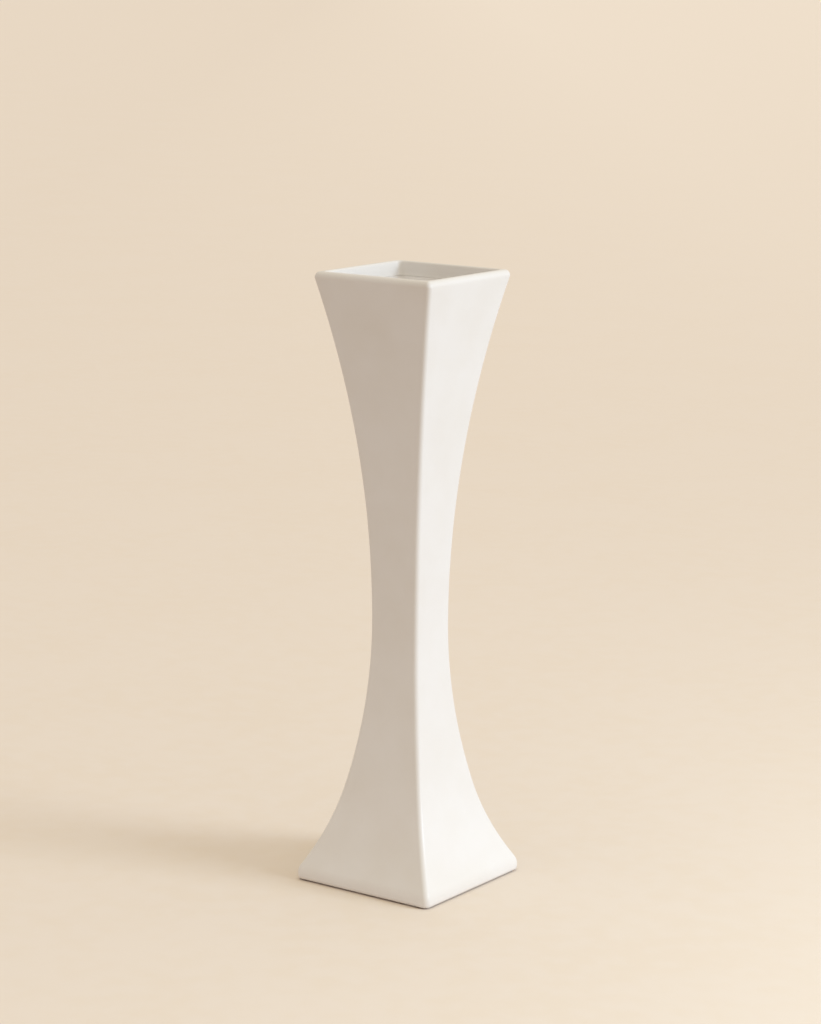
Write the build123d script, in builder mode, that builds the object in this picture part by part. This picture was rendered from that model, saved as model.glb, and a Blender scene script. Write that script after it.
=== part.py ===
"""A square waisted vase in white glazed stoneware, standing on four felt pads.

Millimetres, +Z up. The origin is on the table, under the middle of the foot. The four faces look along
+X, -X, +Y and -Y. Every level is measured from the table, and the sizes of the form are over the glaze.
"""

import os

from build123d import *

# The form, over the glaze
vase_height = 300.0
mouth_width = 69.5
waist_width = 27.9
waist_level = 128.9
skirt_width = 46.4  # where the slow curve of the waist hands over to the quick curve of the foot
skirt_level = 46.9
foot_width = 79.4
foot_band_top = 5.5  # where the quick curve meets the upright band round the foot

# The wall and its glaze
wall = 4.5
floor_thickness = 5.0
glaze_thickness = 0.4
edge_share = 0.44  # rounding of the lip, as a share of the wall
foot_edge_share = 0.2  # rounding under the foot's edge, as a share of the wall
corner_ease = 0.4  # how much softer the four long corners are than the lip
band_ease_share = 1.2  # rounding of the curve into the band, as a share of the long corners' rounding
cavity_corner_radius = 3.0
cavity_floor_share = 0.3  # rounding round the cavity's floor, as a share of its corner radius
lip_lap = 7.0  # how far the outer glaze laps down inside the mouth
dry_foot_height = 0.3  # bare clay above the foot's standing face

# The foot and its pads
foot_ring_width = 6.5
recess_depth = 2.0
recess_corner_radius = 6.0
pad_standoff = 0.5  # how far the pads hold the foot off the table
pad_diameter = 10.0
pad_edge_radius = 0.4
pad_margin = 2.5  # from a pad to the sides of the recess

cut_overrun = 20.0
steep_share = 0.1  # an edge that climbs more than this share of its run belongs to a long corner

# Worked out from the sizes above
edge_radius = edge_share * wall
foot_edge_radius = foot_edge_share * wall
corner_radius = edge_radius + corner_ease
foot_band_ease = band_ease_share * corner_radius
foot_level = pad_standoff
recess_level = foot_level + recess_depth
cavity_level = recess_level + floor_thickness
recess_width = foot_width - 2 * foot_ring_width
pad_place = recess_width / 2 - pad_margin - pad_diameter / 2

# Turning points of the outline's right-hand side
mouth = Vector(mouth_width / 2, vase_height)
waist = Vector(waist_width / 2, waist_level)
skirt = Vector(skirt_width / 2, skirt_level)
band = Vector(foot_width / 2, foot_band_top)
left_band = Vector(-foot_width / 2, foot_band_top)


def four_sided_form(inset, bottom, top, radius):
    """The vase's outline carried through along Y and along X, with only the space in both kept.

    The four hollow faces then meet in mitred corners, which are rounded to the radius. The faces stand in
    from the finished surface by inset, and the form is cut level at its bottom and top.
    """
    with BuildPart() as form:
        for plane, mode in ((Plane.XZ, Mode.ADD), (Plane.YZ, Mode.INTERSECT)):
            with BuildSketch(plane) as outline:
                with BuildLine():
                    upper = TangentArc(waist, mouth, tangent=(0, 1))
                    above = Line(mouth, mouth + (upper % 1) * cut_overrun)
                    lower = TangentArc(waist, skirt, tangent=(0, -1))
                    TangentArc(skirt, band, tangent=lower % 1)
                    below = Line(band, band - Vector(0, cut_overrun))
                    mirror(about=Plane.YZ)
                    Line(above @ 1, Vector(-(above @ 1).X, (above @ 1).Y))
                    Line(below @ 1, Vector(-(below @ 1).X, (below @ 1).Y))
                make_face()
                band_corners = [outline.vertices().sort_by_distance(at)[0] for at in (band, left_band)]
                fillet(band_corners, foot_band_ease)
                if inset:
                    offset(amount=-inset, kind=Kind.INTERSECTION)
            extrude(amount=foot_width, both=True, mode=mode)
        split(bisect_by=Plane.XY.offset(bottom), keep=Keep.TOP)
        split(bisect_by=Plane.XY.offset(top), keep=Keep.BOTTOM)
        long_corners = form.edges().filter_by(lambda edge: abs((edge % 0.5).Z) > steep_share)
        fillet(long_corners, radius)
    return form.part


def vase_shell(coat):
    """The hollow vase with its lip and foot rounded, every surface lying under a coat of that thickness."""
    standing_level = foot_level - glaze_thickness + coat
    outside = four_sided_form(coat, standing_level, vase_height - coat, corner_radius - coat)
    inside = four_sided_form(
        wall - coat, cavity_level - coat, vase_height + cut_overrun / 2, cavity_corner_radius + coat
    )
    with BuildPart() as cavity:
        add(inside)
        floor_edges = cavity.faces().sort_by(Axis.Z)[0].edges()
        fillet(floor_edges, cavity_floor_share * cavity_corner_radius + coat)
    with BuildPart() as shell:
        add(outside)
        add(cavity.part, mode=Mode.SUBTRACT)
        fillet(shell.faces().sort_by(Axis.Z)[-1].edges(), edge_radius - coat)
        fillet(shell.faces().sort_by(Axis.Z)[0].edges(), foot_edge_radius - coat)
    return shell.part


glazed_shell = vase_shell(0)
biscuit_shell = vase_shell(glaze_thickness)

# Slip-cast body: a dry foot ring round a shallow recess
with BuildPart() as clay_body:
    add(biscuit_shell)
    with BuildSketch(Plane.XY.offset(foot_level)):
        RectangleRounded(recess_width, recess_width, recess_corner_radius)
    extrude(amount=recess_depth, mode=Mode.SUBTRACT)

# The whole coat of glaze, from the dry line of the foot up over the lip and down inside
with BuildPart() as coat_of_glaze:
    add(glazed_shell)
    add(biscuit_shell, mode=Mode.SUBTRACT)
    split(bisect_by=Plane.XY.offset(foot_level + dry_foot_height), keep=Keep.TOP)

# Below the lap inside the mouth the coat is two skins; the liner's starts higher, at the cavity's floor
lap_plane = Plane.XY.offset(vase_height - lip_lap)
with BuildPart() as skins:
    add(coat_of_glaze.part)
    split(bisect_by=lap_plane, keep=Keep.BOTTOM)
outer_skin, liner_skin = skins.solids().sort_by(lambda skin: skin.bounding_box().min.Z)

with BuildPart() as outer_glaze:
    add(coat_of_glaze.part)
    split(bisect_by=lap_plane, keep=Keep.TOP)
    add(outer_skin)

with BuildPart() as liner_glaze:
    add(liner_skin)

os.makedirs("parts", exist_ok=True)
clay_body.part.label = "clay_body"
export_step(clay_body.part, "parts/clay_body.step")
outer_glaze.part.label = "outer_glaze"
export_step(outer_glaze.part, "parts/outer_glaze.step")
liner_glaze.part.label = "liner_glaze"
export_step(liner_glaze.part, "parts/liner_glaze.step")

# Felt pads stuck in the corners of the recess
pad_sides = {
    "foot_pad_front_left": (-1, -1),
    "foot_pad_front_right": (1, -1),
    "foot_pad_back_left": (-1, 1),
    "foot_pad_back_right": (1, 1),
}
for pad_name, (x_side, y_side) in pad_sides.items():
    with BuildPart() as foot_pad:
        with BuildSketch():
            with Locations((x_side * pad_place, y_side * pad_place)):
                Circle(pad_diameter / 2)
        extrude(amount=recess_level)
        fillet(foot_pad.faces().sort_by(Axis.Z)[0].edges(), pad_edge_radius)
    foot_pad.part.label = pad_name
    export_step(foot_pad.part, f"parts/{pad_name}.step")
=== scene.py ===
"""Looks of a square waisted vase: its two glazes, bare clay and felt feet, and the studio it stands in.

Metres, +Z up, in the frame of the solids: the origin is on the table, under the middle of the foot.
"""

import math

import bmesh
import bpy
from bpy.props import FloatProperty, FloatVectorProperty, PointerProperty
from mathutils import Matrix, Vector, noise


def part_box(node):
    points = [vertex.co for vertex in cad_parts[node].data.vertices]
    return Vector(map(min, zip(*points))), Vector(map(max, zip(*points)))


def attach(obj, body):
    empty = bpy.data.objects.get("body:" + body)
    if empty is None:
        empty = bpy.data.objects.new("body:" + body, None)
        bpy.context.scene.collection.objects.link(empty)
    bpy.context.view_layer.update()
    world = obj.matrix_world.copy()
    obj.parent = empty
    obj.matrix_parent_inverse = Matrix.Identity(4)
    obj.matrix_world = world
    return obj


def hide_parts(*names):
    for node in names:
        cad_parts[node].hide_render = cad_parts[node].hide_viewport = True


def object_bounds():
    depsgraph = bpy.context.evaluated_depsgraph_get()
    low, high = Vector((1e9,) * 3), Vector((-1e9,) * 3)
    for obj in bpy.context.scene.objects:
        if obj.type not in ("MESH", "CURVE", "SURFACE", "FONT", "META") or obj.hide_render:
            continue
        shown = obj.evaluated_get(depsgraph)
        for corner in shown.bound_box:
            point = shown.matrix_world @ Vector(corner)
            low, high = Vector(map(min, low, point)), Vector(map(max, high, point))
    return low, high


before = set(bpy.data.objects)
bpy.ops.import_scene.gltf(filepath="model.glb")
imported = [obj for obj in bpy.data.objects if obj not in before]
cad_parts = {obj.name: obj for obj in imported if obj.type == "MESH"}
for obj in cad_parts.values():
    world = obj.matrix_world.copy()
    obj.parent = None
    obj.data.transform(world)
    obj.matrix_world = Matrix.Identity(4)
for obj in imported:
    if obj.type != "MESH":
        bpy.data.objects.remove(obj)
CAD_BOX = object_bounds()
CLAY_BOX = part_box("clay_body")
OUTER_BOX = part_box("outer_glaze")
LINER_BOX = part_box("liner_glaze")
FELT_NODES = sorted(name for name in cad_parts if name.startswith("foot_pad_"))

bl_info = {
    "name": "Square Waisted Vase",
    "version": (1, 0, 0),
    "blender": (4, 5, 0),
    "location": "3D View > Sidebar > Vase",
    "description": "Builds a glazed square vase with felt feet, and a plain studio round it",
    "category": "Add Mesh",
}

BODY = "root"
THIN_ATTRIBUTE = "glaze_thin"
MILLIMETRE = 0.001
UP = Vector((0.0, 0.0, 1.0))
SHARP_ANGLE = math.radians(50)

# How near to the axis a line comes before its last ring closes to a point
MIDDLE = 0.0005

# Steps round the rings of the vase, of the felt and of the paper
SIDES = 4
FLAT_STEPS = 18
CORNER_STEPS = 12
FELT_STEPS = 72
PAPER_STEPS = 96

# Steps along the stretches of an outline
ROUND_STEPS = 10
STRAIGHT_STEPS = 2
SKIRT_STEPS = 24
FLARE_STEPS = 60
FLOOR_STEPS = 12
RECESS_STEPS = 4
FELT_BASE_STEPS = 14
FELT_SIDE_STEPS = 10

# Width of the camera's sensor in millimetres
SENSOR_WIDTH = 36.0

# Sockets of the colour form of the Mix node
MIX_FACTOR = 0
MIX_A = 6
MIX_B = 7
MIX_RESULT = 2


def linear(hex_colour):
    """An sRGB hex colour as linear red, green and blue."""
    parts = [int(hex_colour[i:i + 2], 16) / 255 for i in (0, 2, 4)]
    return tuple(c / 12.92 if c <= 0.04045 else ((c + 0.055) / 1.055) ** 2.4 for c in parts)


class VaseSizes(bpy.types.PropertyGroup):
    """Sizes of the vase that a maker would set."""

    mouth_width: FloatProperty(
        name="Mouth width", description="Across the flats at the lip, before its rounding",
        default=0.0695, unit="LENGTH",
    )
    waist_width: FloatProperty(
        name="Waist width", description="Across the flats at the narrowest level",
        default=0.0279, unit="LENGTH",
    )
    waist_level: FloatProperty(
        name="Waist level", description="Height of the narrowest level", default=0.1289, unit="LENGTH"
    )
    skirt_width: FloatProperty(
        name="Skirt width", description="Across the flats where the foot's quick curve begins",
        default=0.0464, unit="LENGTH",
    )
    skirt_level: FloatProperty(
        name="Skirt level", description="Height where the foot's quick curve begins",
        default=0.0469, unit="LENGTH",
    )
    foot_width: FloatProperty(
        name="Foot width", description="Across the flats of the foot",
        default=OUTER_BOX[1].x - OUTER_BOX[0].x, unit="LENGTH",
    )
    band_top: FloatProperty(
        name="Band top", description="Height where the foot's curve would meet its upright edge",
        default=0.0055, unit="LENGTH",
    )
    band_ease: FloatProperty(
        name="Band ease", description="Radius between the foot's curve and its upright edge",
        default=0.01, unit="LENGTH",
    )
    foot_radius: FloatProperty(
        name="Foot radius", description="Rounding under the foot's edge, over the glaze",
        default=0.002, unit="LENGTH",
    )
    lip_radius: FloatProperty(
        name="Lip radius", description="Rounding of the lip's outer edge", default=0.0028, unit="LENGTH"
    )
    lip_inner_radius: FloatProperty(
        name="Inner lip radius", description="Rounding of the lip's inner edge",
        default=0.0012, unit="LENGTH",
    )
    wall: FloatProperty(
        name="Wall", description="Thickness of the wall, glaze included", default=0.0045, unit="LENGTH"
    )
    glaze: FloatProperty(
        name="Glaze", description="Thickness of the glaze", default=0.0004, unit="LENGTH"
    )
    corner_radius: FloatProperty(
        name="Corner radius", description="Rounding of the four long corners",
        default=0.0024, unit="LENGTH",
    )
    foot_corner_radius: FloatProperty(
        name="Foot corner radius", description="Rounding of the corners at the foot, in plan",
        default=0.0038, unit="LENGTH",
    )
    foot_corner_reach: FloatProperty(
        name="Foot corner reach", description="Height over which the corners soften to the foot",
        default=0.01, unit="LENGTH",
    )
    inner_corner_radius: FloatProperty(
        name="Inner corner radius", description="Rounding of the corners inside",
        default=0.0026, unit="LENGTH",
    )
    floor_radius: FloatProperty(
        name="Floor radius", description="Rounding round the floor inside", default=0.002, unit="LENGTH"
    )
    foot_ring_width: FloatProperty(
        name="Foot ring width", description="Width of the ring round the recess under the foot",
        default=0.0065, unit="LENGTH",
    )
    recess_depth: FloatProperty(
        name="Recess depth", description="Depth of the recess under the foot",
        default=0.002, unit="LENGTH",
    )
    recess_corner_radius: FloatProperty(
        name="Recess corner radius", description="Rounding of the recess in plan",
        default=0.006, unit="LENGTH",
    )
    recess_edge: FloatProperty(
        name="Recess edge", description="Rounding of the foot ring's inner edges",
        default=0.0006, unit="LENGTH",
    )
    thin_edge: FloatProperty(
        name="Thin edge", description="Radius of an edge from which the glaze draws back",
        default=0.002, unit="LENGTH",
    )
    ripple_depth: FloatProperty(
        name="Ripple depth", description="Depth of the glaze's slow unevenness",
        default=0.00007, unit="LENGTH",
    )
    ripple_size: FloatProperty(
        name="Ripple size", description="Distance between the glaze's slow ripples",
        default=0.022, unit="LENGTH",
    )
    felt_edge: FloatProperty(
        name="Felt edge", description="Rounding of the felt's standing edge",
        default=0.0004, unit="LENGTH",
    )
    felt_fuzz: FloatProperty(
        name="Felt fuzz", description="Depth of the felt's rough surface",
        default=0.00025, unit="LENGTH",
    )
    felt_tuft: FloatProperty(
        name="Felt tuft", description="Distance between tufts of the felt",
        default=0.0009, unit="LENGTH",
    )


class VaseColours(bpy.types.PropertyGroup):
    """Colours of the vase and of its studio."""

    glaze: FloatVectorProperty(
        name="Glaze", description="Satin white glaze", subtype="COLOR", default=linear("dfdcd6")
    )
    glaze_cloud: FloatVectorProperty(
        name="Glaze clouds", description="Where the white is a shade warmer",
        subtype="COLOR", default=linear("dcd8d0"),
    )
    glaze_thin: FloatVectorProperty(
        name="Thin glaze", description="Where clay warms the glaze on an edge",
        subtype="COLOR", default=linear("dad0c0"),
    )
    liner: FloatVectorProperty(
        name="Liner glaze", description="Glossy white glaze inside",
        subtype="COLOR", default=linear("ebe8e3"),
    )
    liner_cloud: FloatVectorProperty(
        name="Liner clouds", description="Where the glaze ran thinner inside",
        subtype="COLOR", default=linear("e6e1d9"),
    )
    # Partly painted shade: the clay's brown is darker than the bare clay alone, to show the shaded gap
    # under the foot
    clay: FloatVectorProperty(
        name="Clay", description="Bare fired stoneware", subtype="COLOR", default=linear("a5835f")
    )
    grog: FloatVectorProperty(
        name="Grog", description="Grains in the bare clay", subtype="COLOR", default=linear("6f563e")
    )
    felt: FloatVectorProperty(
        name="Felt", description="Wool felt of the feet", subtype="COLOR", default=linear("8a7c6c")
    )
    felt_shade: FloatVectorProperty(
        name="Felt shade", description="Darker fibres in the felt",
        subtype="COLOR", default=linear("5f5347"),
    )
    paper: FloatVectorProperty(
        name="Paper", description="Cream paper that the vase stands on",
        subtype="COLOR", default=linear("e1d5c7"),
    )
    paper_cloud: FloatVectorProperty(
        name="Paper clouds", description="Where the paper is a shade yellower",
        subtype="COLOR", default=linear("e0d3c3"),
    )
    # Painted light: this brighter colour stands in for stronger light on the paper far back
    paper_far: FloatVectorProperty(
        name="Far paper", description="The paper where it lies far back, nearer to its lamps",
        subtype="COLOR", default=linear("f4eadd"),
    )
    paper_near: FloatVectorProperty(
        name="Near paper", description="What the paper round the foot sends back up to it",
        subtype="COLOR", default=linear("ebdfd3"),
    )
    paper_bounce: FloatVectorProperty(
        name="Paper bounce", description="What the paper and the darker room round it send back",
        subtype="COLOR", default=linear("c6b9ad"),
    )
    backdrop: FloatVectorProperty(
        name="Backdrop", description="What shows past the far edge of the paper",
        subtype="COLOR", default=linear("e8d8c3"),
    )
    walls: FloatVectorProperty(
        name="Wall light", description="Light that comes back from the room's walls",
        subtype="COLOR", default=(0.62, 0.565, 0.615),
    )
    key: FloatVectorProperty(
        name="Key light", description="Large soft key, where 1 shows a surface that faces it as it is",
        subtype="COLOR", default=(0.182, 0.216, 0.288),
    )
    fill: FloatVectorProperty(
        name="Fill light", description="Low fill close by on the key's side, on the same scale",
        subtype="COLOR", default=(0.385, 0.458, 0.51),
    )
    ceiling: FloatVectorProperty(
        name="Ceiling light", description="Light that comes back from the room's ceiling",
        subtype="COLOR", default=(1.18, 1.1, 0.84),
    )


class VaseStudio(bpy.types.PropertyGroup):
    """Camera and light."""

    camera_azimuth: FloatProperty(
        name="Camera azimuth", description="Turn of the camera round the vase",
        subtype="ANGLE", default=math.radians(35.78),
    )
    camera_distance: FloatProperty(
        name="Camera distance", description="Level distance from the vase's axis",
        default=1.3899, unit="LENGTH",
    )
    camera_height: FloatProperty(
        name="Camera height", description="Height over the table", default=0.4584, unit="LENGTH"
    )
    camera_pitch: FloatProperty(
        name="Camera pitch", description="Downward tilt", subtype="ANGLE", default=math.radians(11.216)
    )
    camera_pan: FloatProperty(
        name="Camera pan", description="Turn of the camera away from the vase's axis",
        subtype="ANGLE", default=math.radians(0.0098),
    )
    camera_roll: FloatProperty(
        name="Camera roll", description="Lean of the picture",
        subtype="ANGLE", default=math.radians(0.449),
    )
    camera_lens: FloatProperty(name="Lens", description="Focal length in millimetres", default=103.155)
    key_azimuth: FloatProperty(
        name="Key azimuth", description="Turn of the key light round the vase",
        subtype="ANGLE", default=math.radians(110.0),
    )
    key_elevation: FloatProperty(
        name="Key elevation", description="Height of the key light in the sky",
        subtype="ANGLE", default=math.radians(24.0),
    )
    key_spread: FloatProperty(
        name="Key spread", description="Width of the key light as seen from the vase",
        subtype="ANGLE", default=math.radians(24.0),
    )
    fill_azimuth: FloatProperty(
        name="Fill azimuth", description="Turn of the fill light round the vase",
        subtype="ANGLE", default=math.radians(103.0),
    )
    fill_distance: FloatProperty(
        name="Fill distance", description="Level distance of the fill light from the vase's axis",
        default=0.9, unit="LENGTH",
    )
    fill_height: FloatProperty(
        name="Fill height", description="Height of the fill light over the table",
        default=0.45, unit="LENGTH",
    )
    fill_width: FloatProperty(
        name="Fill width", description="Width of the square fill light", default=0.35, unit="LENGTH"
    )
    floor_radius: FloatProperty(
        name="Floor radius", description="Reach of the paper", default=40.0, unit="LENGTH"
    )


class Outline:
    """A line drawn in an upright half plane: out from the axis, and up.

    Each point has its place, its heading, and the radius that the form's corners have in plan there, which
    the function given with each stretch works out from the place. The solid lies to the left of the line.
    """

    def __init__(self, start, heading, corner):
        self.points = [(Vector(start), heading, corner(Vector(start)))]

    @property
    def place(self):
        return self.points[-1][0]

    @property
    def heading(self):
        return self.points[-1][1]

    def arc_to(self, target, steps, corner, stop=1.0):
        """Goes to the target along the arc that leaves the line smoothly, or along a share of it."""
        start, heading = self.place, self.heading
        chord = Vector(target) - start
        turn = 2 * math.remainder(math.atan2(chord.y, chord.x) - heading, math.tau)
        for step in range(1, steps + 1):
            share = stop * step / steps
            reach = chord.length * share
            if turn:
                reach = chord.length * math.sin(turn * share / 2) / math.sin(turn / 2)
            bearing = heading + turn * share / 2
            place = start + reach * Vector((math.cos(bearing), math.sin(bearing)))
            self.points.append((place, heading + turn * share, corner(place)))

    def line_to(self, target, steps, corner):
        """Goes straight to the target."""
        start = self.place
        run = Vector(target) - start
        heading = math.atan2(run.y, run.x)
        for step in range(1, steps + 1):
            place = start + run * step / steps
            self.points.append((place, heading, corner(place)))


def left_of(heading):
    """The direction to the left of a heading, which is into the solid."""
    return Vector((-math.sin(heading), math.cos(heading)))


def inset(points, depth):
    """A line moved into the solid by a depth, with its corners made as much tighter or wider."""
    moved = []
    for place, heading, corner in points:
        shift = left_of(heading) * depth
        moved.append((place + shift, heading, max(corner + shift.x, 0.0)))
    return moved


def backwards(points):
    """A line walked from its end to its start."""
    return [(place, heading + math.pi, corner) for place, heading, corner in reversed(points)]


def square_ring(half, corner):
    """Points round a square with rounded corners: place, outward direction and nearness to a corner."""
    straight = half - corner
    ring = []
    for side in range(SIDES):
        facing = Matrix.Rotation(side * math.tau / SIDES, 3, "Z") @ Vector((1.0, 0.0, 0.0))
        along = UP.cross(facing)
        for step in range(FLAT_STEPS + 1):
            share = 2 * step / FLAT_STEPS - 1
            ring.append((facing * half + along * straight * share, facing, 0.0))
        for step in range(1, CORNER_STEPS):
            angle = step / CORNER_STEPS * math.tau / SIDES
            outward = facing * math.cos(angle) + along * math.sin(angle)
            ring.append(((facing + along) * straight + outward * corner, outward, math.sin(2 * angle)))
    return ring


def round_ring(radius, corner):
    """The same for a circle, which has no corners."""
    ring = []
    for step in range(FELT_STEPS):
        outward = Matrix.Rotation(step * math.tau / FELT_STEPS, 3, "Z") @ Vector((1.0, 0.0, 0.0))
        ring.append((outward * radius, outward, 0.0))
    return ring


def rings_along(points, ring_at, uneven=None, thin_edge=0.0):
    """Rings through a line's points, pressed into the solid by what uneven gives at each place.

    Each point has its place and how near it is to an edge, upright or level, that rounds off the solid.
    """
    rings = []
    for index, (place, heading, corner) in enumerate(points):
        before = points[max(index - 1, 0)]
        after = points[min(index + 1, len(points) - 1)]
        run = (after[0] - before[0]).length
        bend = math.remainder(after[1] - before[1], math.tau) / run if run else 0.0
        edge = min(max(bend * thin_edge, 0.0), 1.0)
        into = left_of(heading)
        ring = []
        for level_place, outward, nearness in ring_at(place.x, corner):
            spot = level_place + UP * place.y
            if uneven:
                spot = spot + (outward * into.x + UP * into.y) * uneven(spot)
            ring.append((spot, max(nearness, edge)))
        rings.append(ring)
    return rings


def skin(name, rings, closed, material):
    """A mesh object through rings of points, joined last to first, or closed to a point at both ends."""
    count = len(rings[0])
    spots = [spot for ring in rings for spot, _ in ring]
    thin = [nearness for ring in rings for _, nearness in ring]
    pairs = [(first, first + 1) for first in range(len(rings) - 1)]
    faces = []
    if closed:
        pairs.append((len(rings) - 1, 0))
    else:
        for index in (0, len(rings) - 1):
            first = index * count
            faces += [(first + i, first + (i + 1) % count, len(spots)) for i in range(count)]
            spots.append(sum((spot for spot, _ in rings[index]), Vector((0.0, 0.0, 0.0))) / count)
            thin.append(0.0)
    for one, two in pairs:
        for i in range(count):
            after = (i + 1) % count
            faces.append((one * count + i, one * count + after, two * count + after, two * count + i))
    mesh = bpy.data.meshes.new(name)
    mesh.from_pydata(spots, [], faces)
    work = bmesh.new()
    work.from_mesh(mesh)
    bmesh.ops.recalc_face_normals(work, faces=work.faces)
    work.to_mesh(mesh)
    work.free()
    mesh.shade_smooth()
    mesh.set_sharp_from_angle(angle=SHARP_ANGLE)
    mesh.attributes.new(THIN_ATTRIBUTE, "FLOAT", "POINT").data.foreach_set("value", thin)
    mesh.materials.append(material)
    piece = bpy.data.objects.new(name, mesh)
    bpy.context.scene.collection.objects.link(piece)
    return piece


def ease_into_upright(line, corner, radius):
    """Where an ease of that radius leaves the arc from the line's end to the corner, and ends upright."""
    chord = corner - line.place
    half_turn = math.remainder(math.atan2(chord.y, chord.x) - line.heading, math.tau)
    arc_radius = chord.length / (2 * math.sin(half_turn))
    arc_middle = line.place + left_of(line.heading) * arc_radius
    ease_out = corner.x - radius
    drop = math.sqrt((arc_radius + radius) ** 2 - (arc_middle.x - ease_out) ** 2)
    ease_middle = Vector((ease_out, arc_middle.y - drop))
    leave = ease_middle + (arc_middle - ease_middle).normalized() * radius
    return leave, Vector((corner.x, ease_middle.y))


def outside_line(sizes):
    """The outer surface from its standing edge up to the lip's rounding.

    With it come the place in the line of the dry line round the foot, and the heading at the mouth.
    """
    standing = CLAY_BOX[0].z - sizes.glaze
    dry_level = OUTER_BOX[0].z
    half_foot = sizes.foot_width / 2
    mouth = Vector((sizes.mouth_width / 2, CAD_BOX[1].z))
    waist = Vector((sizes.waist_width / 2, sizes.waist_level))
    skirt = Vector((sizes.skirt_width / 2, sizes.skirt_level))
    band = Vector((half_foot, sizes.band_top))

    def long_corner(place):
        share = min(max(1 - (place.y - standing) / sizes.foot_corner_reach, 0.0), 1.0)
        return sizes.corner_radius + (sizes.foot_corner_radius - sizes.corner_radius) * share * share

    def foot_corner(place):
        return long_corner(place) - (half_foot - place.x)

    lower = Outline(waist, -math.pi / 2, long_corner)
    lower.arc_to(skirt, SKIRT_STEPS, long_corner)
    leave, upright = ease_into_upright(lower, band, sizes.band_ease)
    lower.arc_to(leave, SKIRT_STEPS, long_corner)
    lower.arc_to(upright, ROUND_STEPS, long_corner)
    lower.arc_to((half_foot, standing + sizes.foot_radius), STRAIGHT_STEPS, long_corner)
    dry_drop = standing + sizes.foot_radius - dry_level
    dry_run = math.sqrt(sizes.foot_radius ** 2 - dry_drop ** 2)
    lower.arc_to((half_foot - sizes.foot_radius + dry_run, dry_level), ROUND_STEPS // 2, foot_corner)
    above_dry = len(lower.points)
    lower.arc_to((half_foot - sizes.foot_radius, standing), ROUND_STEPS // 2, foot_corner)
    below_dry = len(lower.points) - above_dry

    whole = Outline(waist, math.pi / 2, long_corner)
    whole.arc_to(mouth, 1, long_corner)
    lip_run = sizes.lip_radius * math.tan((math.pi - whole.heading) / 2)
    upper = Outline(waist, math.pi / 2, long_corner)
    upper.arc_to(mouth, FLARE_STEPS, long_corner, stop=1 - lip_run / (mouth - waist).length)
    return backwards(lower.points)[:-1] + upper.points, below_dry, whole.heading


def glazed_line(sizes):
    """The whole glazed surface: up the outside, over the lip, down inside and across the floor.

    With it come the places in the line of the dry line round the foot and of the lap inside the mouth,
    where the line has two points, half the glaze above the lap and half below.
    """
    outside, dry, lip_heading = outside_line(sizes)
    height = CAD_BOX[1].z
    half_mouth = sizes.mouth_width / 2
    half_inside = half_mouth - sizes.wall / math.sin(lip_heading)
    outer_run = sizes.lip_radius * math.tan((math.pi - lip_heading) / 2)
    inner_run = sizes.lip_inner_radius * math.tan(lip_heading / 2)
    lip_end = Vector(
        (half_inside - inner_run * math.cos(lip_heading), height - inner_run * math.sin(lip_heading))
    )

    def outer_lip_corner(place):
        return max(sizes.corner_radius - max(outside[-1][0].x - place.x, 0.0), MIDDLE)

    def inner_lip_corner(place):
        return sizes.inner_corner_radius + max(place.x - half_inside, 0.0)

    def inside_corner(place):
        return sizes.inner_corner_radius

    def floor_corner(place):
        return min(sizes.inner_corner_radius, place.x / 2)

    line = Outline(*outside[-1][:2], outer_lip_corner)
    line.points = list(outside)
    line.arc_to((half_mouth - outer_run, height), ROUND_STEPS, outer_lip_corner)
    line.line_to((half_inside + inner_run, height), STRAIGHT_STEPS, inner_lip_corner)
    line.arc_to(lip_end, ROUND_STEPS, inner_lip_corner)

    inside = [point for point in backwards(inset(outside, sizes.wall)) if point[0].y < lip_end.y]
    floor = LINER_BOX[0].z + sizes.glaze
    lap_levels = [LINER_BOX[1].z + side * sizes.glaze / 2 for side in (1, -1)]
    lap = None
    for place, heading, _ in inside:
        while lap_levels and place.y < lap_levels[0]:
            share = (line.place.y - lap_levels[0]) / (line.place.y - place.y)
            between = line.place.lerp(place, share)
            if lap is None:
                lap = len(line.points)
            line.points.append((between, heading, inside_corner(between)))
            lap_levels.pop(0)
        if (place.y - floor) / (1 + math.cos(heading)) < sizes.floor_radius:
            break
        line.points.append((place, heading, inside_corner(place)))
    if lap is None:
        raise ValueError("the lap of the glaze lies below the vase's inside")
    floor_radius = (line.place.y - floor) / (1 + math.cos(line.heading))
    floor_start = line.place.x + floor_radius * math.sin(line.heading)
    line.arc_to((floor_start, floor), ROUND_STEPS, floor_corner)
    line.line_to((MIDDLE, floor), FLOOR_STEPS, floor_corner)
    return line.points, dry, lap


def foot_line(sizes):
    """The underside of the clay: the recess, and the inner edge of the ring round it."""
    standing = CLAY_BOX[0].z
    ceiling = standing + sizes.recess_depth
    half_recess = sizes.foot_width / 2 - sizes.foot_ring_width
    edge = sizes.recess_edge

    def recess_corner(place):
        return max(min(sizes.recess_corner_radius + place.x - half_recess, place.x / 2), 0.0)

    line = Outline((MIDDLE, ceiling), 0.0, recess_corner)
    line.line_to((half_recess - edge, ceiling), FLOOR_STEPS, recess_corner)
    line.arc_to((half_recess, ceiling - edge), ROUND_STEPS, recess_corner)
    line.line_to((half_recess, standing + edge), RECESS_STEPS, recess_corner)
    line.arc_to((half_recess + edge, standing), ROUND_STEPS, recess_corner)
    return line.points


def round_edge(points, end):
    """The half round from the end of one face of a coat of glaze to the start of the other."""
    start, heading, corner = points[-1]
    edge = Outline(start, heading, lambda place: corner)
    edge.arc_to(end[0], ROUND_STEPS, lambda place: corner)
    return edge.points[1:-1]


def rippled_rings(points, sizes):
    """Rings along the glaze's face, pressed in by the slow ripples that the glaze dries with."""

    def ripple(spot):
        return (0.5 + 0.5 * noise.noise(spot / sizes.ripple_size)) * sizes.ripple_depth

    return rings_along(points, square_ring, ripple, sizes.thin_edge)


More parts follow.
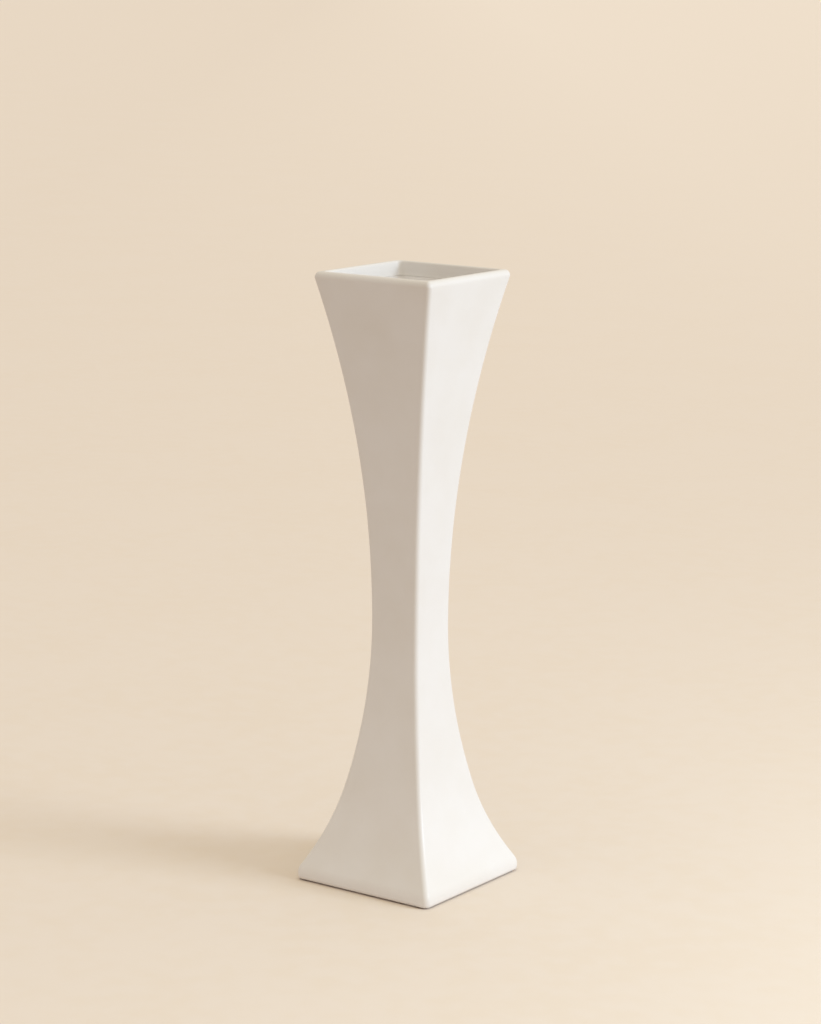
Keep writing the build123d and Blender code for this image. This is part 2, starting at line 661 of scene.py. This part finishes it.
def add_node(tree, kind, inputs=(), **settings):
    """A node with its settings, its inputs set to values or linked to other nodes' outputs."""
    node = tree.nodes.new(kind)
    for name, value in settings.items():
        setattr(node, name, value)
    for socket, value in dict(inputs).items():
        if isinstance(value, bpy.types.NodeSocket):
            tree.links.new(value, node.inputs[socket])
        else:
            node.inputs[socket].default_value = value
    return node


def new_material(name):
    """An empty node material, with its tree and its object coordinates."""
    material = bpy.data.materials.new(name)
    material.use_nodes = True
    tree = material.node_tree
    tree.nodes.clear()
    where = add_node(tree, "ShaderNodeTexCoord").outputs["Object"]
    return material, tree, where


def opaque(colour):
    """A colour with its alpha."""
    return (*colour, 1.0)


def mix_colours(tree, share, first, second):
    """An output that turns from the first colour to the second as the share goes from 0 to 1."""
    inputs = {MIX_FACTOR: share, MIX_A: first, MIX_B: second}
    return add_node(tree, "ShaderNodeMix", inputs, data_type="RGBA").outputs[MIX_RESULT]


def spread(tree, value, low, high, to_low=0.0, to_high=1.0, **settings):
    """An output that goes from to_low to to_high, and no further, as the value goes from low to high."""
    inputs = {"Value": value, "From Min": low, "From Max": high, "To Min": to_low, "To Max": to_high}
    return add_node(tree, "ShaderNodeMapRange", inputs, **settings).outputs["Result"]


def reckon(tree, operation, first, second):
    """An output worked out from two values."""
    return add_node(tree, "ShaderNodeMath", {0: first, 1: second}, operation=operation).outputs["Value"]


def soft_noise(tree, where, size, detail, roughness=0.5):
    """An output of soft noise, with clouds of about that size."""
    inputs = {"Vector": where, "Scale": 1 / size, "Detail": detail, "Roughness": roughness}
    return add_node(tree, "ShaderNodeTexNoise", inputs).outputs["Fac"]


def from_grains(tree, where, spacing):
    """An output of the distance from scattered grains, as a share of their spacing."""
    inputs = {"Vector": where, "Scale": 1 / spacing}
    return add_node(tree, "ShaderNodeTexVoronoi", inputs).outputs["Distance"]


def uneven_skin(tree, height, depth, strength):
    """An output of the directions that a skin faces when it rises and falls by that depth."""
    inputs = {"Height": height, "Distance": depth, "Strength": strength}
    return add_node(tree, "ShaderNodeBump", inputs).outputs["Normal"]


def surface(tree, inputs):
    """Ends a material with one surface."""
    shader = add_node(tree, "ShaderNodeBsdfPrincipled", inputs)
    add_node(tree, "ShaderNodeOutputMaterial", {"Surface": shader.outputs["BSDF"]})


def glaze_material(name, colour, cloud, thin, smooth, rough):
    """A white glaze over stoneware.

    To the eye it is an even white that is a shade warmer in slow clouds, where the coat is thinner, and
    on edges, where it drew back from the clay. Its skin is almost flat, with faint dimples from drying,
    and its roughness goes from smooth to rough with the clouds.
    """
    cloud_size = 26 * MILLIMETRE
    dimple_size = 2.4 * MILLIMETRE
    dimple_depth = 0.02 * MILLIMETRE
    speck_spacing = 5 * MILLIMETRE
    speck_share = 0.25
    edge_share = 0.12
    material, tree, where = new_material(name)
    clouds = soft_noise(tree, where, cloud_size, detail=3.0)
    warm = spread(tree, clouds, low=0.35, high=0.7)
    tinted = mix_colours(tree, warm, opaque(colour), opaque(cloud))
    edges = add_node(tree, "ShaderNodeAttribute", attribute_name=THIN_ATTRIBUTE).outputs["Fac"]
    edged = mix_colours(tree, reckon(tree, "MULTIPLY", edges, edge_share), tinted, opaque(thin))
    grains = from_grains(tree, where, speck_spacing)
    specks = spread(tree, grains, low=0.03, high=0.05, to_low=speck_share, to_high=0.0)
    dimples = soft_noise(tree, where, dimple_size, detail=2.0)
    inputs = {
        "Base Color": mix_colours(tree, specks, edged, opaque(thin)),
        "Roughness": spread(tree, clouds, low=0.3, high=0.7, to_low=smooth, to_high=rough),
        "IOR": 1.5,
        "Normal": uneven_skin(tree, dimples, dimple_depth, strength=0.5),
    }
    surface(tree, inputs)
    return material


def dipped_satin_glaze(colours):
    """Satin white glaze that the vase was dipped in: broad soft highlights with no clear reflection."""
    return glaze_material(
        "dipped_satin_white_glaze", colours.glaze, colours.glaze_cloud, colours.glaze_thin,
        smooth=0.38, rough=0.5,
    )


def poured_gloss_glaze(colours):
    """White liner glaze, poured in and out: wetter than the outside, and thinner where it ran."""
    return glaze_material(
        "poured_gloss_white_glaze", colours.liner, colours.liner_cloud, colours.glaze_thin,
        smooth=0.26, rough=0.36,
    )


def sponged_stoneware(colours):
    """Bare fired stoneware, sponged smooth: dry and sandy, with darker grains of grog. Its brown is partly
    painted shade, made darker than the bare clay alone to show the shaded gap under the foot.
    """
    grain_size = 0.7 * MILLIMETRE
    grain_depth = 0.06 * MILLIMETRE
    grog_spacing = 2.2 * MILLIMETRE
    grog_share = 0.7
    patch_size = 14 * MILLIMETRE
    patch_share = 0.35
    material, tree, where = new_material("sponged_bare_stoneware")
    grog = opaque(colours.grog)
    clouds = soft_noise(tree, where, patch_size, detail=3.0)
    patches = spread(tree, clouds, low=0.3, high=0.7, to_high=patch_share)
    patched = mix_colours(tree, patches, opaque(colours.clay), grog)
    from_grog = from_grains(tree, where, grog_spacing)
    specks = spread(tree, from_grog, low=0.10, high=0.18, to_low=grog_share, to_high=0.0)
    grains = soft_noise(tree, where, grain_size, detail=3.0, roughness=0.7)
    inputs = {
        "Base Color": mix_colours(tree, specks, patched, grog),
        "Roughness": spread(tree, grains, low=0.0, high=1.0, to_low=0.75, to_high=0.95),
        "IOR": 1.5,
        "Normal": uneven_skin(tree, grains, grain_depth, strength=0.8),
    }
    surface(tree, inputs)
    return material


def pressed_wool_felt(colours):
    """Pressed wool felt: a dull matted tangle of light and dark fibres, with a soft sheen at a glance.

    Real fibres are a fiftieth of a millimetre thick. They are drawn ten times as thick, so they show.
    """
    fibre_size = 0.2 * MILLIMETRE
    fibre_depth = 0.08 * MILLIMETRE
    fibre_stretch = 6.0
    fibre_curl = 1.2
    fibre_tilt = (0.3, 0.2)
    fibre_turns = (0.0, math.radians(62), math.radians(121))
    mat_size = 1.5 * MILLIMETRE
    material, tree, where = new_material("pressed_wool_felt")
    strands = []
    for turn in fibre_turns:
        lie = {
            "Vector": where,
            "Rotation": (*fibre_tilt, turn),
            "Scale": (1.0, fibre_stretch, fibre_stretch),
        }
        strand = {
            "Vector": add_node(tree, "ShaderNodeMapping", lie).outputs["Vector"],
            "Scale": 1 / (fibre_size * fibre_stretch),
            "Detail": 1.0,
            "Distortion": fibre_curl,
        }
        strands.append(add_node(tree, "ShaderNodeTexNoise", strand).outputs["Fac"])
    upper = reckon(tree, "MAXIMUM", strands[0], strands[1])
    tangle = reckon(tree, "MAXIMUM", upper, strands[2])
    light = spread(tree, tangle, low=0.45, high=0.75)
    mats = soft_noise(tree, where, mat_size, detail=2.0)
    matted = reckon(tree, "MULTIPLY", light, mats)
    inputs = {
        "Base Color": mix_colours(tree, matted, opaque(colours.felt_shade), opaque(colours.felt)),
        "Roughness": 0.95,
        "IOR": 1.5,
        "Specular IOR Level": 0.2,
        "Sheen Weight": 0.25,
        "Sheen Roughness": 0.5,
        "Normal": uneven_skin(tree, tangle, fibre_depth, strength=0.9),
    }
    surface(tree, inputs)
    return material


def seen_rays(tree):
    """1 for rays that the eye follows, straight or by a mirror, and 0 for rays that only carry light."""
    path = add_node(tree, "ShaderNodeLightPath").outputs
    mirrored = reckon(tree, "MAXIMUM", path["Is Glossy Ray"], path["Is Transmission Ray"])
    return reckon(tree, "MAXIMUM", path["Is Camera Ray"], mirrored)


def cream_paper(colours):
    """Seamless cream paper: quite matt, with slow blotches a shade yellower, and painted light that makes
    it brighter far back and on the side where the lamps stand.

    Round the foot it sends up a little more light than it shows. Further off it sends back less, as a
    sheet does that ends in a darker room just out of the picture.
    """
    blotch_size = 110 * MILLIMETRE
    fleck_size = 14 * MILLIMETRE
    half_bright = 1.2
    # Painted light: the shown paper turns to the brighter far colour far back, more so on the lamps' side,
    # as their light would fall there
    painted_light_side = (0.81, 0.59, 0.0)
    side_reach = 0.6
    dim_side_share = 0.6
    foot_reach = 0.08
    room_reach = 0.4
    material, tree, where = new_material("seamless_cream_paper")
    blotches = soft_noise(tree, where, blotch_size, detail=4.0, roughness=0.6)
    flecks = soft_noise(tree, where, fleck_size, detail=3.0)
    mottle = spread(tree, reckon(tree, "MULTIPLY", blotches, flecks), low=0.18, high=0.36)
    mottled = mix_colours(tree, mottle, opaque(colours.paper), opaque(colours.paper_cloud))
    away = add_node(tree, "ShaderNodeVectorMath", {0: where}, operation="LENGTH").outputs["Value"]
    far = reckon(tree, "DIVIDE", away, reckon(tree, "ADD", away, half_bright))
    aside = add_node(tree, "ShaderNodeVectorMath", {0: where, 1: painted_light_side}, operation="DOT_PRODUCT")
    side = spread(tree, aside.outputs["Value"], -side_reach, side_reach, to_low=dim_side_share)
    shown = mix_colours(tree, reckon(tree, "MULTIPLY", far, side), mottled, opaque(colours.paper_far))
    room = spread(tree, away, foot_reach, room_reach, interpolation_type="SMOOTHSTEP")
    sent_back = mix_colours(tree, room, opaque(colours.paper_near), opaque(colours.paper_bounce))
    inputs = {
        "Base Color": mix_colours(tree, seen_rays(tree), sent_back, shown),
        "Roughness": 0.95,
        "IOR": 1.45,
        "Specular IOR Level": 0.1,
    }
    surface(tree, inputs)
    return material


def fit_to_frame(piece, node):
    """The piece moves with the vase and stands in for its solid, which is hidden."""
    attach(piece, BODY)
    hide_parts(node)


class VASE_OT_clay_body(bpy.types.Operator):
    """Builds the slip-cast clay body, bare round its foot ring and recess"""

    bl_idname = "vase.clay_body"
    bl_label = "Clay body"

    def execute(self, context):
        sizes = context.scene.vase_sizes
        glazed, _, _ = glazed_line(sizes)
        points = foot_line(sizes) + inset(glazed, sizes.glaze)
        material = sponged_stoneware(context.scene.vase_colours)
        piece = skin("vase_clay_body", rings_along(points, square_ring), False, material)
        fit_to_frame(piece, "clay_body")
        return {"FINISHED"}


class VASE_OT_outer_glaze(bpy.types.Operator):
    """Builds the satin glaze from the dry line at the foot, up the outside and over the lip"""

    bl_idname = "vase.outer_glaze"
    bl_label = "Outer glaze"

    def execute(self, context):
        sizes = context.scene.vase_sizes
        glazed, dry, lap = glazed_line(sizes)
        face = glazed[dry:lap + 1]
        back = backwards(inset(face, sizes.glaze))
        back = round_edge(face, back[0]) + back + round_edge(back, face[0])
        rings = rippled_rings(face, sizes) + rings_along(back, square_ring)
        piece = skin("vase_outer_glaze", rings, True, dipped_satin_glaze(context.scene.vase_colours))
        fit_to_frame(piece, "outer_glaze")
        return {"FINISHED"}


class VASE_OT_liner_glaze(bpy.types.Operator):
    """Builds the liner glaze from the lap inside the mouth down to the floor"""

    bl_idname = "vase.liner_glaze"
    bl_label = "Liner glaze"

    def execute(self, context):
        sizes = context.scene.vase_sizes
        glazed, _, lap = glazed_line(sizes)
        face = glazed[lap + 1:]
        back = backwards(inset(face, sizes.glaze))
        back = back + round_edge(back, face[0])
        rings = rings_along(back, square_ring) + rippled_rings(face, sizes)
        piece = skin("vase_liner_glaze", rings, False, poured_gloss_glaze(context.scene.vase_colours))
        fit_to_frame(piece, "liner_glaze")
        return {"FINISHED"}


class VASE_OT_felt_feet(bpy.types.Operator):
    """Builds the felt pads stuck in the corners of the recess"""

    bl_idname = "vase.felt_feet"
    bl_label = "Felt feet"

    def execute(self, context):
        if not FELT_NODES:
            raise RuntimeError("the model has no foot pads to dress")
        material = pressed_wool_felt(context.scene.vase_colours)
        for node in FELT_NODES:
            self.build_foot(node, context.scene.vase_sizes, material)
        return {"FINISHED"}

    def build_foot(self, node, sizes, material):
        low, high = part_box(node)
        middle = Vector(((low.x + high.x) / 2, (low.y + high.y) / 2, low.z))
        radius = (high.x - low.x) / 2
        height = high.z - low.z

        def no_corner(place):
            return 0.0

        tuft_share = 0.35
        hair_share = 0.15
        hairs_per_tuft = 3

        def fuzz(spot):
            tuft = noise.noise((spot + middle) / sizes.felt_tuft)
            hair = noise.noise((spot + middle) * hairs_per_tuft / sizes.felt_tuft)
            return (0.5 + tuft_share * tuft + hair_share * hair) * sizes.felt_fuzz

        line = Outline((MIDDLE, 0.0), 0.0, no_corner)
        line.line_to((radius - sizes.felt_edge, 0.0), FELT_BASE_STEPS, no_corner)
        line.arc_to((radius, sizes.felt_edge), ROUND_STEPS // 2, no_corner)
        line.line_to((radius, height), FELT_SIDE_STEPS, no_corner)
        top = Outline((radius, height), math.pi, no_corner)
        top.line_to((MIDDLE, height), FELT_SIDE_STEPS, no_corner)
        rings = rings_along(line.points, round_ring, fuzz) + rings_along(top.points[1:], round_ring)
        piece = skin(node.replace("foot_pad", "felt_foot"), rings, False, material)
        piece.location = middle
        fit_to_frame(piece, node)


class VASE_OT_studio(bpy.types.Operator):
    """Lays the paper, and sets the lights, the room's light and the camera"""

    bl_idname = "vase.studio"
    bl_label = "Studio"

    def execute(self, context):
        scene = context.scene
        self.lay_paper(scene)
        self.hang_lamps(scene)
        self.fill_room(scene)
        self.set_camera(scene)
        scene.view_settings.view_transform = "Standard"
        return {"FINISHED"}

    def lay_paper(self, scene):
        mesh = bpy.data.meshes.new("studio_paper")
        work = bmesh.new()
        reach = scene.vase_studio.floor_radius
        bmesh.ops.create_circle(work, cap_ends=True, radius=reach, segments=PAPER_STEPS)
        work.to_mesh(mesh)
        work.free()
        mesh.materials.append(cream_paper(scene.vase_colours))
        paper = bpy.data.objects.new("studio_paper", mesh)
        scene.collection.objects.link(paper)

    def hang_lamps(self, scene):
        studio = scene.vase_studio
        colours = scene.vase_colours
        key_from = Vector((0.0, -math.cos(studio.key_elevation), math.sin(studio.key_elevation)))
        key_from.rotate(Matrix.Rotation(studio.key_azimuth, 3, "Z"))
        fill_from = Vector((0.0, -studio.fill_distance, studio.fill_height))
        fill_from.rotate(Matrix.Rotation(studio.fill_azimuth, 3, "Z"))
        key = self.hang_lamp(scene, "key_softbox", "SUN", colours.key, math.pi, key_from)
        key.angle = studio.key_spread
        power = (math.pi * studio.fill_distance) ** 2
        fill = self.hang_lamp(scene, "fill_softbox", "AREA", colours.fill, power, fill_from)
        fill.size = studio.fill_width

    def hang_lamp(self, scene, name, kind, colour, power, place):
        """A lamp that faces the vase's axis at mid-height, where that power shows a surface as it is."""
        light = bpy.data.lights.new(name, kind)
        level = max(colour)
        light.color = [part / level for part in colour]
        light.energy = power * level
        lamp = bpy.data.objects.new(name, light)
        aim = place if kind == "SUN" else place - UP * CAD_BOX[1].z / 2
        lamp.rotation_euler = aim.to_track_quat("Z", "Y").to_euler()
        lamp.location = place
        scene.collection.objects.link(lamp)
        return light

    def fill_room(self, scene):
        colours = scene.vase_colours
        world = bpy.data.worlds.new("studio_room")
        world.use_nodes = True
        tree = world.node_tree
        tree.nodes.clear()
        aim = add_node(tree, "ShaderNodeTexCoord").outputs["Generated"]
        height = add_node(tree, "ShaderNodeSeparateXYZ", {"Vector": aim}).outputs["Z"]
        overhead = reckon(tree, "MULTIPLY", height, height)
        room = mix_colours(tree, overhead, opaque(colours.walls), opaque(colours.ceiling))
        light = add_node(tree, "ShaderNodeBackground", {"Color": room})
        backdrop = add_node(tree, "ShaderNodeBackground", {"Color": opaque(colours.backdrop)})
        mixed = add_node(
            tree, "ShaderNodeMixShader",
            {0: seen_rays(tree), 1: light.outputs["Background"], 2: backdrop.outputs["Background"]},
        )
        add_node(tree, "ShaderNodeOutputWorld", {"Surface": mixed.outputs["Shader"]})
        scene.world = world

    def set_camera(self, scene):
        studio = scene.vase_studio
        camera = bpy.data.cameras.new("studio_camera")
        camera.lens = studio.camera_lens
        camera.sensor_width = SENSOR_WIDTH
        camera.clip_end = 2 * studio.floor_radius
        stand = bpy.data.objects.new("studio_camera", camera)
        turn = Matrix.Rotation(studio.camera_azimuth, 4, "Z")
        place = Vector((0.0, -studio.camera_distance, studio.camera_height))
        pan = Matrix.Rotation(studio.camera_pan, 4, "Z")
        tilt = Matrix.Rotation(math.pi / 2 - studio.camera_pitch, 4, "X")
        roll = Matrix.Rotation(studio.camera_roll, 4, "Z")
        stand.matrix_world = turn @ Matrix.Translation(place) @ pan @ tilt @ roll
        scene.collection.objects.link(stand)
        scene.camera = stand


OPERATORS = (
    VASE_OT_clay_body,
    VASE_OT_outer_glaze,
    VASE_OT_liner_glaze,
    VASE_OT_felt_feet,
    VASE_OT_studio,
)


class VASE_PT_sidebar(bpy.types.Panel):
    """Lists the vase's pieces, sizes and colours"""

    bl_idname = "VASE_PT_sidebar"
    bl_label = "Square Waisted Vase"
    bl_space_type = "VIEW_3D"
    bl_region_type = "UI"
    bl_category = "Vase"

    def draw(self, context):
        for operator in OPERATORS:
            self.layout.operator(operator.bl_idname)
        for group in (context.scene.vase_sizes, context.scene.vase_colours, context.scene.vase_studio):
            column = self.layout.column()
            for name in type(group).__annotations__:
                column.prop(group, name)


CLASSES = (VaseSizes, VaseColours, VaseStudio, *OPERATORS, VASE_PT_sidebar)


def register():
    for kind in CLASSES:
        bpy.utils.register_class(kind)
    bpy.types.Scene.vase_sizes = PointerProperty(type=VaseSizes)
    bpy.types.Scene.vase_colours = PointerProperty(type=VaseColours)
    bpy.types.Scene.vase_studio = PointerProperty(type=VaseStudio)


def unregister():
    del bpy.types.Scene.vase_studio
    del bpy.types.Scene.vase_colours
    del bpy.types.Scene.vase_sizes
    for kind in reversed(CLASSES):
        bpy.utils.unregister_class(kind)


def main():
    """Registers the classes and builds everything in order."""
    register()
    bpy.ops.vase.clay_body()
    bpy.ops.vase.outer_glaze()
    bpy.ops.vase.liner_glaze()
    bpy.ops.vase.felt_feet()
    bpy.ops.vase.studio()


if __name__ == "__main__":
    main()
